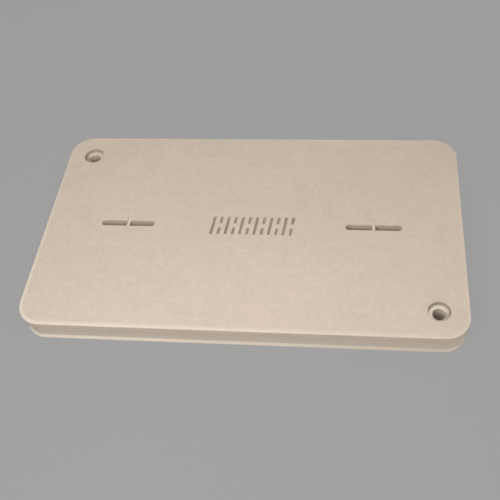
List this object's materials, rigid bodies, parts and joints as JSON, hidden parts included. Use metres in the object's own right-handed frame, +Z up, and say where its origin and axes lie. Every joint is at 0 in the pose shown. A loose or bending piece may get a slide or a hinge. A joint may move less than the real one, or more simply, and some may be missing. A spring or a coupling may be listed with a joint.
{
  "type": "cable pit cover",
  "caption": "Rounded rectangular polymer concrete lid for a cable pit, with pull slots, cross pins and flanged bolt bushes.",
  "frame": {"origin": "under the centre of the cover, on the surface that it rests on", "axes": "+X along the cover's length, +Y towards the rear edge where the left bolt hole is, +Z up out of the top face"},
  "size_m": [0.7746, 0.4476, 0.0508],
  "materials": {
    "polymer_concrete": "matte cast, sandy tan",
    "pin_steel": "drawn stainless bar, satin",
    "bush_steel": "turned stainless, satin"
  },
  "bodies": {
    "root": {"cover_slab": "polymer_concrete", "left_pull_pin": "pin_steel", "right_pull_pin": "pin_steel", "rear_left_bolt_bush": "bush_steel", "front_right_bolt_bush": "bush_steel"}
  },
  "joints": []
}
